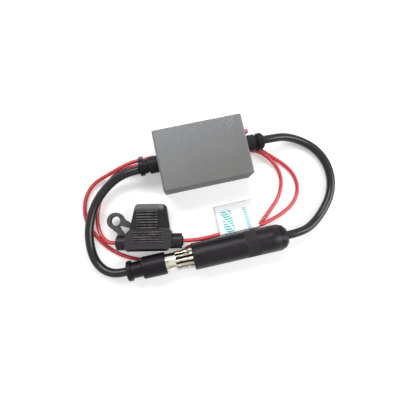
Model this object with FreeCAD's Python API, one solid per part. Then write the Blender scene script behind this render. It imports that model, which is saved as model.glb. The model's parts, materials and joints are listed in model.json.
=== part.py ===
import FreeCAD, Part
import math
import os

V = FreeCAD.Vector
os.makedirs("parts", exist_ok=True)

# An in-line car antenna amplifier: a small metal case with a coax cable out of each end,
# an antenna plug that sits in the antenna socket, and a red lead with a blade fuse holder.
# Millimetres, +Z up, origin under the middle of the case.

# Case
case_length = 48.0
case_width = 32.0
case_height = 17.0
wall = 1.0
base_thickness = 1.2
edge_bevel = 1.0
slip_gap = 0.1
corner_block = 3.4
case_screw_radius = 0.95
case_screw_head_radius = 1.55
case_screw_head_depth = 0.8
case_screw_length = 6.0
screw_slot_width = 0.4
screw_slot_depth = 0.4

# Circuit board and what stands on it
board_thickness = 1.6
board_clearance = 2.0
board_edge_gap = 1.0
board_corner_gap = 0.4
standoff_height = 3.0
standoff_radius = 1.6
standoff_x = 15.0
standoff_y = 10.5
board_screw_radius = 0.8
board_screw_head_radius = 1.7
board_screw_head_height = 1.1
board_screw_length = 3.6
terminal_inset = 7.0
terminal_thickness = 1.0
terminal_width = 1.8
terminal_rim = 0.4
coax_strip = 2.2
conductor_radius = 0.45
component_leg = 0.5
# Where the components stand: shares of the case's length and width
transistor_at = (0.03, 0.12)
coils_at = ((-0.14, 0.17), (0.19, -0.16))
electrolytic_at = (-0.18, -0.17)
discs_at = ((-0.02, -0.09), (0.10, -0.25), (0.26, 0.14))
resistors_at = ((-0.29, 0.20), (-0.09, -0.30), (0.08, 0.30), (0.11, 0.0))

# Cable glands, one in each end wall
left_gland_y = 0.4
right_gland_y = 1.2
gland_z = 8.5
gland_root_radius = 4.65
gland_root_length = 5.2
gland_groove_radius = 3.3
gland_groove_length = 0.9
gland_nose_radius = 3.95
gland_nose_length = 4.4
gland_neck_radius = 3.5
gland_flange_radius = 4.2
gland_flange_thickness = 1.2
bore_clearance = 0.05

# Cables
coax_radius = 2.3
dielectric_radius = 1.3
lead_radius = 1.05
bare_radius = 0.5
left_coax_offset = -1.2
right_coax_offset = 0.4
lead_offset_y = 1.9
lead_drop = 2.0

# Indicator lamp
lamp_radius = 1.5
lamp_y = 8.4
lamp_reach = 3.8
lamp_flange_radius = 1.9
lamp_flange_thickness = 1.0
lamp_leg = 0.5
lamp_leg_pitch = 1.3
lamp_leg_reach = 2.0

# Cable ties
tie_width = 2.2
tie_thickness = 0.8
tie_head = 3.2
left_tie_head_depth = 0.8
right_tie_head_depth = 1.7
right_tie_head_inset = 3.0
right_tie_head_drop = 1.8
tied_clearance = 0.15
left_tie_setback = 0.1
right_tie_setback = 1.4
# Where the end of the lead passes through the left tie: y, z
tied_lead_end = (4.93, 5.93)

# Plug and socket, turned about one line that runs past the front of the case
socket_mouth_x = -16.3
socket_mouth_y = -52.1
line_angle = 0.2
sleeve_radius = 7.1
line_z = 7.2
sleeve_length = 46.8
tail_length = 4.2
tail_end_radius = 4.6
tail_chamfer = 1.6
tail_shoulder = 0.9
tail_spigot = 6.0
mouth_round = 0.4
edge_round = 0.5
collar_round = 0.3
knurl_start = 28.2
knurl_length = 6.6
knurl_depth = 0.35
knurl_ridges = 28
knurl_groove = 0.7
tube_bore = 5.6
tube_wall = 0.5
tube_length = 22.0
tube_inset = 0.8
contact_bore = 1.85
contact_wall = 0.6
contact_length = 13.0
contact_inset = 12.0
collar_radius = 5.35
collar_length = 2.3
neck_radius = 4.3
neck_length = 5.6
grip_radius = 5.85
grip_length = 12.4
grip_setback = 14.5
barrel_radius = 4.5
barrel_band = 4.2
finger_radius = 5.3
finger_wall = 0.55
finger_depth = 8.0
finger_count = 12
finger_slot = 1.1
finger_bend = 1.5
# Waves along the fingers: setback from the mouth, radius
finger_waves = ((8.0, 4.95), (6.0, 4.65), (4.2, 5.1), (2.8, 4.85))
finger_lip = 0.4
slot_setback = 1.2
barrel_hidden = 5.0
boot_bore = 2.0
pin_radius = 1.55
pin_depth = 17.0
pin_taper = 1.5
pin_tip_radius = 0.6
plug_insulator_radius = 3.0

# Fuse holder, flat on its side, turned a little about the vertical
holder_x = -34.95
holder_y = -33.5
holder_angle = -11.0
holder_base_left = 13.4
holder_base_right = 10.7
holder_base_height = 11.3
holder_front_bevel_u = 1.3
holder_front_bevel_z = 2.2
shoulder_left = 2.4
shoulder_right = 1.0
holder_base_thickness = 11.0
holder_wall = 1.5
boss_left_drop = 6.6
boss_right_drop = 6.2
boss_z = 5.5
boss_left_radius = 4.1
boss_right_radius = 4.1
boss_left_length = 4.9
boss_right_length = 5.4
boss_bore = 2.6
seal_proud = 0.7
seal_depth = 4.0
corner_left = 1.0
corner_right_r = 2.5
corner_right_u = 2.8
cap_left = 11.1
cap_right = 9.7
cap_top_left = 8.0
cap_top_right = 7.8
cap_height = 13.5
cap_corner = 2.0
cap_z_low = 1.2
cap_z_high = 10.2
cap_slope_start = 4.3
cap_slope_drop = 3.2
rib_height = 0.7
rib_width = 0.7
rib_root = 0.3
cap_rib_count = 7
cap_rib_left = 7.2
cap_rib_right = 3.9
cap_rib_low = 1.0
cap_rib_high = 9.5
base_rib_count = 5
base_rib_left = 9.3
base_rib_right = 6.3
base_rib_low = 0.9
base_rib_high = 6.6
strap_ring_r = 19.0
strap_ring_u = 4.95
strap_outer = 4.5
strap_inner = 2.55
strap_z_low = 4.0
strap_depth = 3.8
strap_leg = 2.4
strap_wall_top = 3.3
# Corners of the strap's leg and foot, from the middle of its eye: r, u
strap_leg_low = (2.2, -2.7)
strap_leg_high = (4.0, 1.5)
strap_leg_elbow = (4.6, -3.4)
strap_foot_left = (-0.4, -4.2)
strap_foot_right = (2.4, -3.2)
strap_foot_inner = 1.4
strap_foot_outer = 4.4

# Blade fuse and its contacts
fuse_width = 10.9
fuse_thickness = 3.8
fuse_height = 8.8
fuse_proud = 7.0
blade_width = 2.8
blade_thickness = 0.8
blade_length = 6.6
blade_inset = 0.1
blade_rooted = 4.0
element_bridge = 0.8
fuse_waist = 0.6
fuse_head = 2.2
fuse_gap = 0.3
contact_slot_gap = 0.12
contact_plate = 0.25

# Label flag on the supply lead
label_width = 22.0
label_reach = 15.5
label_thickness = 0.3
label_setback = 0.4
label_lift = 0.05
label_gap = 0.3


def box(x0, x1, y0, y1, z0, z1):
    return Part.makeBox(x1 - x0, y1 - y0, z1 - z0, V(x0, y0, z0))


def rod(start, direction, radius, length):
    return Part.makeCylinder(radius, length, V(*start), V(*direction))


def polygon(points, z0, height):
    corners = [V(x, y, z0) for x, y in points]
    outline = Part.makePolygon(corners + [corners[0]])
    return Part.Face(outline).extrude(V(0, 0, height))


def turned(profile):
    """A solid turned about the X axis from (along, radius) points."""
    corners = [V(s, r, 0) for s, r in profile]
    outline = Part.makePolygon(corners + [corners[0]])
    return Part.Face(outline).revolve(V(0, 0, 0), V(1, 0, 0), 360)


def ring(s0, s1, outer, inner):
    return turned([(s0, inner), (s0, outer), (s1, outer), (s1, inner)])


def fused(shapes):
    body = shapes[0]
    for shape in shapes[1:]:
        body = body.fuse(shape)
    return body.removeSplitter()


def cut(body, tools):
    for tool in tools:
        body = body.cut(tool)
    return body.removeSplitter()


def save(name, *solids):
    shape = solids[0] if len(solids) == 1 else Part.makeCompound(list(solids))
    for solid in shape.Solids:
        if not solid.isValid() or not solid.isClosed():
            print("not a closed valid solid:", name)
    shape.exportStep("parts/" + name + ".step")
    volume = sum(solid.Volume for solid in shape.Solids)
    print("%-24s %d solids %9.2f mm3" % (name, len(shape.Solids), volume))
    return shape


def cord(name, points, radius):
    """A round cord along straight runs joined by tangent arcs."""
    corners = [V(*p) for p in points]
    edges = []
    start = corners[0]
    radii = []
    for before, here, after in zip(corners, corners[1:], corners[2:]):
        inward = (before - here).normalize()
        outward = (after - here).normalize()
        turn = math.pi - inward.getAngle(outward)
        run = min((before - here).Length, (after - here).Length)
        arc_radius = 0.45 * run / math.tan(turn / 2)
        radii.append(arc_radius)
        reach = 0.45 * run
        first = here + inward * reach
        last = here + outward * reach
        middle = (inward + outward).normalize()
        crest = here + middle * (arc_radius / math.cos(turn / 2) - arc_radius)
        edges.append(Part.LineSegment(start, first).toShape())
        edges.append(Part.Arc(first, crest, last).toShape())
        start = last
    edges.append(Part.LineSegment(start, corners[-1]).toShape())
    path = Part.Wire(edges)
    heading = corners[1] - corners[0]
    section = Part.Wire([Part.makeCircle(radius, corners[0], heading)])
    tube = path.makePipeShell([section], True, False)
    full = math.pi * radius * radius * path.Length
    print("%s: length %.1f, volume %.3f of full, radii %s"
          % (name, path.Length, tube.Volume / full, [round(r, 1) for r in radii]))
    return tube


def hull_of(circles, grow):
    """The convex outline round circles (y, z, radius) in the YZ plane, as a face."""
    faces = []
    for y, z, r in circles:
        faces.append(Part.Face(Part.Wire([Part.makeCircle(r + grow, V(0, y, z), V(1, 0, 0))])))
    for i, (y1, z1, r1) in enumerate(circles):
        for y2, z2, r2 in circles[i + 1:]:
            gap = math.hypot(y2 - y1, z2 - z1)
            heading = math.atan2(z2 - z1, y2 - y1)
            lean = math.acos((r1 - r2) / gap)
            quad = []
            for side in (1, -1):
                angle = heading + side * lean
                toward = (math.cos(angle), math.sin(angle))
                near = V(0, y1 + (r1 + grow) * toward[0], z1 + (r1 + grow) * toward[1])
                far = V(0, y2 + (r2 + grow) * toward[0], z2 + (r2 + grow) * toward[1])
                quad += [near, far] if side == 1 else [far, near]
            faces.append(Part.Face(Part.makePolygon(quad + [quad[0]])))
    if len(circles) > 2:
        centres = [V(0, y, z) for y, z, r in circles]
        faces.append(Part.Face(Part.makePolygon(centres + [centres[0]])))
    return fused(faces)


def band(x0, circles):
    outer = hull_of(circles, tie_thickness).extrude(V(tie_width, 0, 0))
    inner = hull_of(circles, 0.0).extrude(V(tie_width, 0, 0))
    loop = outer.cut(inner)
    loop.translate(V(x0, 0, 0))
    return loop


def on_line(shape):
    """Places a piece built along X from the socket's mouth onto the plug and socket line."""
    placed = shape.copy()
    placed.rotate(V(0, 0, 0), V(0, 0, 1), line_angle)
    placed.translate(V(socket_mouth_x, socket_mouth_y, line_z))
    return placed


def line_point(along):
    angle = math.radians(line_angle)
    return (socket_mouth_x + along * math.cos(angle), socket_mouth_y + along * math.sin(angle), line_z)


def in_holder(shape):
    """Places a piece built upright about the cap's joint onto the turned fuse holder."""
    placed = shape.copy()
    placed.rotate(V(0, 0, 0), V(0, 0, 1), holder_angle)
    placed.translate(V(holder_x, holder_y, 0))
    return placed


def holder_point(r, u, z):
    angle = math.radians(holder_angle)
    x = holder_x + r * math.cos(angle) - u * math.sin(angle)
    y = holder_y + r * math.sin(angle) + u * math.cos(angle)
    return (x, y, z)


# Values worked out from the sizes above
half_length = case_length / 2
half_width = case_width / 2
inner_x = half_length - wall
inner_y = half_width - wall
block_x = inner_x - corner_block / 2
block_y = inner_y - corner_block / 2
board_bottom = base_thickness + standoff_height
board_top = board_bottom + board_thickness
board_half_length = inner_x - board_clearance
board_half_width = inner_y - board_edge_gap
gland_tip = half_length + gland_root_length + gland_groove_length + gland_nose_length
left_coax_y = left_gland_y + left_coax_offset
right_coax_y = right_gland_y + right_coax_offset
lead_y = left_gland_y + lead_offset_y
lead_z = gland_z - lead_drop
terminal_x = half_length - terminal_inset
corners_xy = [(sx, sy) for sx in (-1, 1) for sy in (-1, 1)]


def make_casing_top():
    shell = box(-half_length, half_length, -half_width, half_width, 0, case_height)
    ends = [e for e in shell.Edges
            if abs(e.BoundBox.ZMin - case_height) < 0.01 and e.BoundBox.XLength < 0.01]
    shell = shell.makeChamfer(edge_bevel, ends)
    hollow = box(-inner_x, inner_x, -inner_y, inner_y, -1, case_height - wall)
    shell = shell.cut(hollow)
    for sx, sy in corners_xy:
        x, y = sx * block_x, sy * block_y
        half = corner_block / 2
        block = box(x - half, x + half, y - half, y + half, base_thickness, case_height - wall)
        shell = shell.fuse(block)
    tools = []
    for sx, sy in corners_xy:
        tools.append(rod((sx * block_x, sy * block_y, 0), (0, 0, 1),
                         case_screw_radius + bore_clearance, case_screw_length + 1))
    for side, gland_y in ((-1, left_gland_y), (1, right_gland_y)):
        tools.append(rod((side * (inner_x - 1), gland_y, gland_z), (side, 0, 0),
                         gland_neck_radius + bore_clearance, wall + 2))
    tools.append(rod((inner_x - 1, lamp_y, gland_z), (1, 0, 0), lamp_radius + slip_gap, wall + 2))
    return cut(shell, tools)


def make_casing_base():
    plate = box(-inner_x + slip_gap, inner_x - slip_gap, -inner_y + slip_gap, inner_y - slip_gap,
                0, base_thickness)
    for sx, sy in corners_xy:
        plate = plate.fuse(rod((sx * standoff_x, sy * standoff_y, 0), (0, 0, 1),
                               standoff_radius, board_bottom))
    tools = []
    for sx, sy in corners_xy:
        x, y = sx * block_x, sy * block_y
        tools.append(rod((x, y, -1), (0, 0, 1), case_screw_radius + slip_gap, base_thickness + 2))
        tools.append(Part.makeCone(case_screw_head_radius + slip_gap, case_screw_radius + slip_gap,
                                   case_screw_head_depth, V(x, y, 0), V(0, 0, 1)))
        tools.append(rod((sx * standoff_x, sy * standoff_y, base_thickness), (0, 0, 1),
                         board_screw_radius + bore_clearance, standoff_height + 1))
    return cut(plate, tools)


def make_casing_screws():
    screws = []
    for sx, sy in corners_xy:
        x, y = sx * block_x, sy * block_y
        head = Part.makeCone(case_screw_head_radius, case_screw_radius, case_screw_head_depth,
                             V(x, y, 0), V(0, 0, 1))
        shank = rod((x, y, case_screw_head_depth), (0, 0, 1), case_screw_radius,
                    case_screw_length - case_screw_head_depth)
        slot = box(x - case_screw_head_radius, x + case_screw_head_radius,
                   y - screw_slot_width / 2, y + screw_slot_width / 2, -1, screw_slot_depth)
        screws.append(cut(fused([head, shank]), [slot]))
    return screws


def make_circuit_board():
    board = box(-board_half_length, board_half_length, -board_half_width, board_half_width,
                board_bottom, board_top)
    tools = []
    for sx, sy in corners_xy:
        x0 = inner_x - corner_block - board_corner_gap
        y0 = inner_y - corner_block - board_corner_gap
        notch = box(x0, half_length, y0, half_width, 0, case_height)
        if sx < 0:
            notch = notch.mirror(V(0, 0, 0), V(1, 0, 0))
        if sy < 0:
            notch = notch.mirror(V(0, 0, 0), V(0, 1, 0))
        tools.append(notch)
        tools.append(rod((sx * standoff_x, sy * standoff_y, 0), (0, 0, 1),
                         board_screw_radius + slip_gap, case_height))
    return cut(board, tools)


def make_board_screws():
    screws = []
    for sx, sy in corners_xy:
        x, y = sx * standoff_x, sy * standoff_y
        head = rod((x, y, board_top), (0, 0, 1), board_screw_head_radius, board_screw_head_height)
        shank = rod((x, y, board_top), (0, 0, -1), board_screw_radius, board_screw_length)
        slot_z = board_top + board_screw_head_height - screw_slot_depth
        slot = box(x - board_screw_head_radius, x + board_screw_head_radius,
                   y - screw_slot_width / 2, y + screw_slot_width / 2, slot_z, slot_z + 2)
        screws.append(cut(fused([head, shank]), [slot]))
    return screws


def on_board(place):
    return place[0] * case_length, place[1] * case_width


def square_leg(x, y, top):
    half = component_leg / 2
    return box(x - half, x + half, y - half, y + half, board_top, top)


def make_transistor():
    x, y = on_board(transistor_at)
    r, lift, tall = 2.4, 2.2, 4.8
    body = rod((x, y, board_top + lift), (0, 0, 1), r, tall)
    body = body.cut(box(x - r, x + r, y + 0.6 * r, y + 2 * r, 0, case_height))
    legs = [square_leg(x + dx, y, board_top + lift) for dx in (-1.27, 0, 1.27)]
    return fused([body] + legs)


def make_tuning_coils():
    coils = []
    for place in coils_at:
        x, y = on_board(place)
        outer, inner, length = 2.3, 1.5, 5.5
        centre = board_top + outer
        tube = rod((x, y, centre), (1, 0, 0), outer, length)
        coils.append(tube.cut(rod((x - 1, y, centre), (1, 0, 0), inner, length + 2)))
    return coils


def make_electrolytic():
    x, y = on_board(electrolytic_at)
    r, tall = 2.6, 7.0
    can = rod((x, y, board_top), (0, 0, 1), r, tall)
    crimp = Part.makeTorus(r + 0.15, 0.4, V(x, y, board_top + 1.2), V(0, 0, 1))
    return cut(can, [crimp])


def make_disc_capacitors():
    discs = []
    for place in discs_at:
        x, y = on_board(place)
        r, thick, lift = 2.2, 1.6, 1.0
        disc = rod((x, y - thick / 2, board_top + lift + r), (0, 1, 0), r, thick)
        legs = [square_leg(x + dx, y, board_top + lift + r) for dx in (-1.2, 1.2)]
        discs.append(fused([disc] + legs))
    return discs


def make_resistors():
    resistors = []
    for place in resistors_at:
        x, y = on_board(place)
        r, length, lead, lift, overhang = 0.95, 3.6, 0.22, 0.4, 1.2
        z = board_top + lift + r
        body = rod((x, y, z), (1, 0, 0), r, length)
        wire = rod((x - overhang, y, z), (1, 0, 0), lead, length + 2 * overhang)
        feet = [rod((end, y, board_top), (0, 0, 1), lead, lift + r)
                for end in (x - overhang + lead, x + length + overhang - lead)]
        resistors.append(fused([body, wire] + feet))
    return resistors


def terminal_post(x, y, z):
    x0, x1 = sorted((x, x + math.copysign(terminal_thickness, x)))
    half = terminal_width / 2
    return box(x0, x1, y - half, y + half, board_top, z + conductor_radius + terminal_rim)


def make_board_terminals():
    posts = []
    for x, y, z in ((-terminal_x, left_coax_y, gland_z), (terminal_x, right_coax_y, gland_z),
                    (-terminal_x, lead_y, lead_z)):
        post = terminal_post(x, y, z)
        hole = rod((x - 2, y, z), (1, 0, 0), conductor_radius + bore_clearance, 5)
        posts.append(cut(post, [hole]))
    return posts


def make_core(side, y):
    """Inside the gland the cable is stripped to its dielectric, and on the board to its wire."""
    strip_x = terminal_x + coax_strip
    white = rod((side * gland_tip, y, gland_z), (-side, 0, 0), dielectric_radius, gland_tip - strip_x)
    wire = rod((side * strip_x, y, gland_z), (-side, 0, 0), conductor_radius,
               coax_strip + terminal_rim)
    return fused([white, wire])


def make_lead_tail():
    return rod((-gland_tip, lead_y, lead_z), (1, 0, 0), conductor_radius,
               gland_tip - terminal_x + terminal_rim)


def make_gland(side):
    flange = inner_x - gland_flange_thickness
    root_end = half_length + gland_root_length
    groove_end = root_end + gland_groove_length
    profile = [(flange, 0), (flange, gland_flange_radius), (inner_x, gland_flange_radius),
               (inner_x, gland_neck_radius), (half_length, gland_neck_radius),
               (half_length, gland_root_radius), (root_end, gland_root_radius),
               (root_end, gland_groove_radius), (groove_end, gland_groove_radius),
               (groove_end, gland_nose_radius), (gland_tip - 0.5, gland_nose_radius),
               (gland_tip, gland_nose_radius - 0.5), (gland_tip, 0)]
    plain = turned([(side * s, r) for s, r in profile])
    plain.translate(V(0, left_gland_y if side < 0 else right_gland_y, gland_z))
    coax_y = left_coax_y if side < 0 else right_coax_y
    start = side * (flange - 1)
    tools = [rod((start, coax_y, gland_z), (side, 0, 0), dielectric_radius + bore_clearance, gland_tip)]
    if side < 0:
        tools.append(rod((start, lead_y, lead_z), (side, 0, 0), conductor_radius + bore_clearance,
                         gland_tip))
    return cut(plain, tools)


def make_lamp():
    flange_x = inner_x - lamp_flange_thickness
    barrel_end = half_length + lamp_reach - lamp_radius
    flange = rod((flange_x, lamp_y, gland_z), (1, 0, 0), lamp_flange_radius, lamp_flange_thickness)
    barrel = rod((inner_x, lamp_y, gland_z), (1, 0, 0), lamp_radius, barrel_end - inner_x)
    dome = Part.makeSphere(lamp_radius, V(barrel_end, lamp_y, gland_z))
    return fused([flange, barrel, dome])


def make_lamp_legs():
    legs = []
    flange_x = inner_x - lamp_flange_thickness
    bend_x = flange_x - lamp_leg_reach
    for side in (-1, 1):
        y = lamp_y + side * lamp_leg_pitch / 2
        half = lamp_leg / 2
        reach = box(bend_x, flange_x, y - half, y + half, gland_z - half, gland_z + half)
        drop = box(bend_x, bend_x + lamp_leg, y - half, y + half, board_top, gland_z + half)
        legs.append(fused([reach, drop]))
    return legs


# The cords' routes. Their ends follow the pieces that they enter.
tail_along = sleeve_length + tail_length
collar_along = -(grip_setback + grip_length + neck_length + collar_length)
left_boss_r = -(holder_base_left + boss_left_length + seal_proud)
right_boss_r = holder_base_right + boss_right_length + seal_proud
lead_end = (-26.4, 5.5, 5.0)
bare_tip = (-24.5, 5.681, 4.774)
label_lead_start = (-3.0, -44.0, 3.8)
label_lead_left = (0.1, -43.75, 3.95)
label_lead_right = (22.6, -43.55, 3.95)
label_lead_end = (25.4, -43.3, 3.7)

coax_left_route = [
    (-gland_tip, left_coax_y, gland_z), (-gland_tip - 5.0, left_coax_y, gland_z), (-46.6, -1.9, 6.9),
    (-54.2, -5.7, 5.5), (-60.6, -11.6, 5.2), (-65.2, -19.0, 5.2), (-67.8, -26.6, 5.2),
    (-68.5, -32.6, 5.2), (-68.4, -38.2, 5.2), (-67.3, -43.2, 5.4), (-64.7, -47.6, 6.0),
    (-60.8, -50.8, 6.7), line_point(collar_along - 4.9), line_point(collar_along)]

coax_right_route = [
    (gland_tip, right_coax_y, gland_z), (gland_tip + 5.5, right_coax_y, gland_z), (48.0, 1.7, 6.0),
    (57.0, -1.6, 3.4), (64.6, -7.8, 2.6), (69.0, -16.8, 2.4), (69.4, -26.8, 2.4), (66.0, -36.2, 2.4),
    (58.8, -44.2, 2.9), (50.4, -49.9, 5.0), line_point(tail_along + 7.6), line_point(tail_along)]

power_lead_route = [
    (-gland_tip, lead_y, lead_z), (-gland_tip - 4.0, lead_y, lead_z), (-43.6, 2.1, 3.4),
    (-49.1, 1.3, 1.7), (-54.9, -3.2, 1.15), (-59.2, -9.4, 1.15), (-62.2, -15.8, 1.15),
    (-63.7, -21.6, 1.2), (-63.8, -25.6, 1.5), (-62.9, -29.8, 2.5), (-61.6, -32.4, 3.6),
    (-59.7, -34.6, 4.9), holder_point(left_boss_r - 2.6, -boss_left_drop, boss_z),
    holder_point(left_boss_r, -boss_left_drop, boss_z)]

supply_lead_route = [
    holder_point(right_boss_r, -boss_right_drop, boss_z),
    holder_point(right_boss_r + 6.5, -boss_right_drop, boss_z),
    label_lead_start, label_lead_left, label_lead_right, label_lead_end, (32.9, -41.4, 2.2),
    (38.9, -39.2, 1.3), (44.2, -36.2, 1.15), (48.0, -32.0, 1.15), (49.9, -26.8, 1.15),
    (49.7, -21.2, 1.15), (47.6, -16.2, 1.3), (43.9, -11.6, 1.5), (40.0, -7.9, 1.5), (36.6, -4.7, 1.45),
    (34.0, -1.8, 1.5), (31.8, 0.8, 1.8), (29.6, 3.15, 2.2), (27.59, 3.2, 2.4), (26.23, 1.84, 2.5),
    (26.27, -0.1, 2.55), (27.7, -1.47, 2.75), (31.3, -2.6, 3.3), (34.6, -5.2, 3.6), (37.6, -8.6, 2.9),
    (40.2, -12.5, 1.9), (41.7, -17.0, 1.25), (41.5, -22.0, 1.15), (39.6, -27.3, 1.15),
    (36.6, -31.8, 1.15), (32.4, -35.6, 1.15), (27.8, -39.6, 1.15), (24.6, -42.5, 1.1),
    (21.4, -44.8, 1.1), (17.0, -46.3, 1.12), (11.0, -46.5, 1.15), (2.0, -46.45, 1.15),
    (-8.0, -46.5, 1.15), (-16.9, -46.45, 1.15), (-19.8, -47.8, 1.15), (-22.6, -49.2, 1.15),
    (-26.2, -49.6, 1.15), (-29.8, -48.95, 1.15), (-34.0, -48.65, 1.15), (-39.0, -48.7, 1.15),
    (-43.4, -48.4, 1.15), (-47.6, -46.8, 1.15), (-52.4, -44.4, 1.15), (-57.3, -41.0, 1.15),
    (-61.6, -36.6, 1.15),
    (-65.0, -31.6, 1.15), (-68.0, -26.2, 1.15), (-69.7, -20.4, 1.15), (-69.5, -14.4, 1.15),
    (-68.0, -9.0, 1.15), (-64.8, -4.2, 1.25), (-60.4, -0.9, 1.6), (-55.2, 0.6, 2.8),
    (-50.3, 1.8, 4.4), (-44.4, 3.35, 6.05), (-39.0, 4.6, 6.4), (-34.6, 4.95, 6.0),
    (-31.0, 4.9, 5.8), (-28.5, 5.3, 5.25), lead_end]


def make_left_tie():
    x0 = -gland_tip + left_tie_setback
    circles = [(left_gland_y, gland_z, gland_nose_radius + bore_clearance),
               (tied_lead_end[0], tied_lead_end[1], lead_radius + tied_clearance)]
    overhang = (tie_head - tie_width) / 2
    head_top = gland_z - gland_nose_radius - tie_thickness / 2
    head = box(x0 - overhang, x0 + tie_width + overhang, left_gland_y - tie_head / 2,
               left_gland_y + tie_head / 2, head_top - left_tie_head_depth, head_top)
    return fused([band(x0, circles), head])


def make_right_tie():
    x0 = gland_tip - right_tie_setback - tie_width
    bore = gland_nose_radius + bore_clearance
    hoop = ring(x0, x0 + tie_width, bore + tie_thickness, bore)
    hoop.translate(V(0, right_gland_y, gland_z))
    overhang = (tie_head - tie_width) / 2
    head_y = right_gland_y + right_tie_head_inset
    head_z = gland_z - right_tie_head_drop
    head = box(x0 - overhang, x0 + tie_width + overhang, head_y, head_y + right_tie_head_depth,
               head_z - tie_head, head_z)
    nose = rod((x0 - 1, right_gland_y, gland_z), (1, 0, 0), bore, tie_width + 2)
    return cut(fused([hoop, head]), [nose])


def make_socket_sleeve():
    bore = tube_bore + tube_wall
    profile = [(0, bore), (0, sleeve_radius - mouth_round), (mouth_round, sleeve_radius),
               (sleeve_length, sleeve_radius), (sleeve_length, bore)]
    sleeve = turned(profile)
    grooves = []
    for i in range(knurl_ridges):
        angle = 360.0 * i / knurl_ridges
        groove = box(knurl_start, knurl_start + knurl_length, -knurl_groove / 2, knurl_groove / 2,
                     sleeve_radius - knurl_depth, sleeve_radius + 1)
        groove.rotate(V(0, 0, 0), V(1, 0, 0), angle)
        grooves.append(groove)
    return cut(sleeve, [Part.makeCompound(grooves)])


def make_socket_tail():
    bore = tube_bore + tube_wall
    end = sleeve_length + tail_length
    spigot = sleeve_length - tail_spigot
    profile = [(spigot, 0), (spigot, bore - bore_clearance),
               (sleeve_length, bore - bore_clearance), (sleeve_length, sleeve_radius),
               (end - tail_chamfer, sleeve_radius - tail_shoulder), (end, tail_end_radius), (end, 0)]
    return turned(profile)


def make_plug_barrel():
    """A plain band, then spring fingers that flare out and run into the socket."""
    back = -grip_setback - barrel_hidden
    band_end = -grip_setback + barrel_band
    inner = finger_radius - finger_wall
    band_inner = barrel_radius - finger_wall
    curl = finger_depth - finger_bend
    crests = [(-setback, radius) for setback, radius in finger_waves]
    troughs = [(s, r - finger_wall) for s, r in reversed(crests)]
    profile = [(back, band_inner), (back, barrel_radius), (band_end, barrel_radius)] + crests
    profile += [(-finger_bend, finger_radius), (curl, finger_radius),
                (finger_depth, finger_radius - finger_lip), (finger_depth, inner - finger_lip),
                (curl, inner), (-finger_bend, inner)] + troughs + [(band_end, band_inner)]
    barrel = turned(profile)
    slots = []
    for i in range(finger_count):
        slot = box(band_end + slot_setback, finger_depth + 1, -finger_slot / 2, finger_slot / 2,
                   plug_insulator_radius, finger_radius + 1)
        slot.rotate(V(0, 0, 0), V(1, 0, 0), 360.0 * (i + 0.5) / finger_count)
        slots.append(slot)
    return cut(barrel, [Part.makeCompound(slots)])


def make_plug_insulator():
    back = -grip_setback - barrel_hidden + slip_gap
    step = -grip_setback + barrel_band - 1
    front = finger_depth - 1
    wide = barrel_radius - finger_wall - bore_clearance
    slim = plug_insulator_radius - bore_clearance
    bore = pin_radius + bore_clearance
    profile = [(back, bore), (back, wide), (step, wide), (step, slim), (front, slim), (front, bore)]
    return turned(profile)


def make_plug_pin():
    back = -grip_setback - barrel_hidden - 1
    taper = pin_depth - pin_taper
    profile = [(back, 0), (back, pin_radius), (taper, pin_radius), (pin_depth, pin_tip_radius),
               (pin_depth, 0)]
    return turned(profile)


def make_plug_grip():
    front = -grip_setback
    back = front - grip_length
    bore = barrel_radius + bore_clearance
    seat = front - barrel_hidden
    pin_bore = pin_radius + bore_clearance
    profile = [(back, boot_bore), (back, grip_radius - edge_round), (back + edge_round, grip_radius),
               (front - edge_round, grip_radius), (front, grip_radius - edge_round), (front, bore),
               (seat, bore), (seat, pin_bore), (seat - 1, pin_bore), (seat - 1, boot_bore)]
    return turned(profile)


def make_plug_boot():
    front = -grip_setback - grip_length
    collar_front = front - neck_length
    back = collar_front - collar_length
    spigot = boot_bore - bore_clearance
    profile = [(back, 0), (back, collar_radius - collar_round), (back + collar_round, collar_radius),
               (collar_front - collar_round, collar_radius),
               (collar_front, collar_radius - collar_round), (collar_front, neck_radius),
               (front, neck_radius), (front, spigot), (front + 3, spigot), (front + 3, 0)]
    return turned(profile)


def make_socket_tube():
    return ring(tube_inset, tube_inset + tube_length, tube_bore + tube_wall - bore_clearance, tube_bore)


def make_socket_insulator():
    start = tube_inset + tube_length
    bore = contact_bore + contact_wall + bore_clearance
    outer = tube_bore + tube_wall - bore_clearance
    end = sleeve_length - tail_spigot
    return turned([(start, bore), (start, outer), (end, outer), (end, bore)])


def make_socket_contact():
    start = contact_inset
    bore_end = start + contact_length
    end = sleeve_length - tail_spigot
    outer = contact_bore + contact_wall
    profile = [(start, contact_bore), (start, outer), (end, outer), (end, 0), (bore_end, 0),
               (bore_end, contact_bore)]
    return turned(profile)


def ribs(count, left, right, low, high, z_from, z_to):
    pitch = (high - low) / (count - 1)
    return [box(-left, right, low + i * pitch - rib_width / 2, low + i * pitch + rib_width / 2,
                z_from, z_to) for i in range(count)]


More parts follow.
